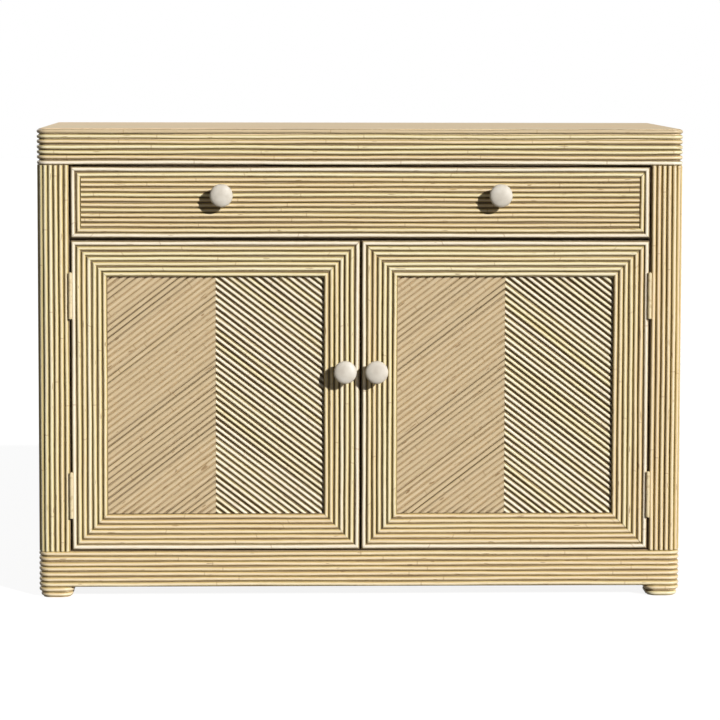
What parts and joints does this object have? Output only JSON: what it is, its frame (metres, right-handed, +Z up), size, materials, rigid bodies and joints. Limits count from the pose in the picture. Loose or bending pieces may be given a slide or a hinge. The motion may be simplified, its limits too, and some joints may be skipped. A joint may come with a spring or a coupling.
{
  "type": "record cabinet",
  "caption": "Low cabinet faced with split rattan reeds: a wide drawer above hinged doors with chevron reed panels, rounded front corners, short wrapped feet and a shelf inside.",
  "frame": {"origin": "under the middle of the outline, knobs included, at floor level", "axes": "+X to the right of someone facing the doors, +Y to the back, +Z up"},
  "size_m": [1.067, 0.487, 0.778],
  "materials": {
    "reed": "clear satin lacquer on split rattan",
    "top_veneer": "satin pale wood veneer",
    "plywood": "matte plywood",
    "solid_wood": "matte solid wood",
    "knob": "matte off-white paint on turned wood",
    "hinge": "satin cream paint",
    "strike": "zinc plated",
    "catch": "matte brown"
  },
  "bodies": {
    "cabinet": {"back_panel": "plywood", "bottom_band_reeds": "reed", "bottom_front_rail": "solid_wood", "deck_panel": "plywood", "door_catches": "catch", "drawer_guides": "solid_wood", "drawer_kickers": "solid_wood", "drawer_rail": "solid_wood", "drawer_runners": "solid_wood", "foot_reeds": "reed", "front_left_foot": "solid_wood", "front_left_post": "solid_wood", "front_right_foot": "solid_wood", "front_right_post": "solid_wood", "left_frame_hinge_leaves": "hinge", "left_side_panel": "plywood", "left_wall_reeds": "reed", "rear_left_foot": "solid_wood", "rear_left_post": "solid_wood", "rear_right_foot": "solid_wood", "rear_right_post": "solid_wood", "right_frame_hinge_leaves": "hinge", "right_side_panel": "plywood", "right_wall_reeds": "reed", "shelf": "plywood", "shelf_cleats": "solid_wood", "top_band_reeds": "reed", "top_front_rail": "solid_wood", "top_panel": "top_veneer"},
    "drawer": {"drawer_back": "solid_wood", "drawer_bottom": "plywood", "drawer_front": "solid_wood", "drawer_front_reeds": "reed", "drawer_knobs": "knob", "drawer_left_side": "solid_wood", "drawer_right_side": "solid_wood"},
    "left_door": {"left_door_bottom_rail": "solid_wood", "left_door_chevron_reeds": "reed", "left_door_frame_reeds": "reed", "left_door_hinge_leaves": "hinge", "left_door_hinge_stile": "solid_wood", "left_door_knob": "knob", "left_door_lock_stile": "solid_wood", "left_door_panel": "plywood", "left_door_strike_plate": "strike", "left_door_top_rail": "solid_wood"},
    "right_door": {"right_door_bottom_rail": "solid_wood", "right_door_chevron_reeds": "reed", "right_door_frame_reeds": "reed", "right_door_hinge_leaves": "hinge", "right_door_hinge_stile": "solid_wood", "right_door_knob": "knob", "right_door_lock_stile": "solid_wood", "right_door_panel": "plywood", "right_door_strike_plate": "strike", "right_door_top_rail": "solid_wood"}
  },
  "joints": [
    {"name": "drawer_slide", "type": "slide", "parent": "cabinet", "child": "drawer", "axis": [0, -1, 0], "range_m": [0, 0.33]},
    {"name": "left_door_hinge", "type": "hinge", "parent": "cabinet", "child": "left_door", "pos_m": [-0.4783, -0.215, 0.33725], "axis": [0, 0, -1], "range_deg": [0, 170]},
    {"name": "right_door_hinge", "type": "hinge", "parent": "cabinet", "child": "right_door", "pos_m": [0.4783, -0.215, 0.33725], "axis": [0, 0, 1], "range_deg": [0, 170]}
  ]
}
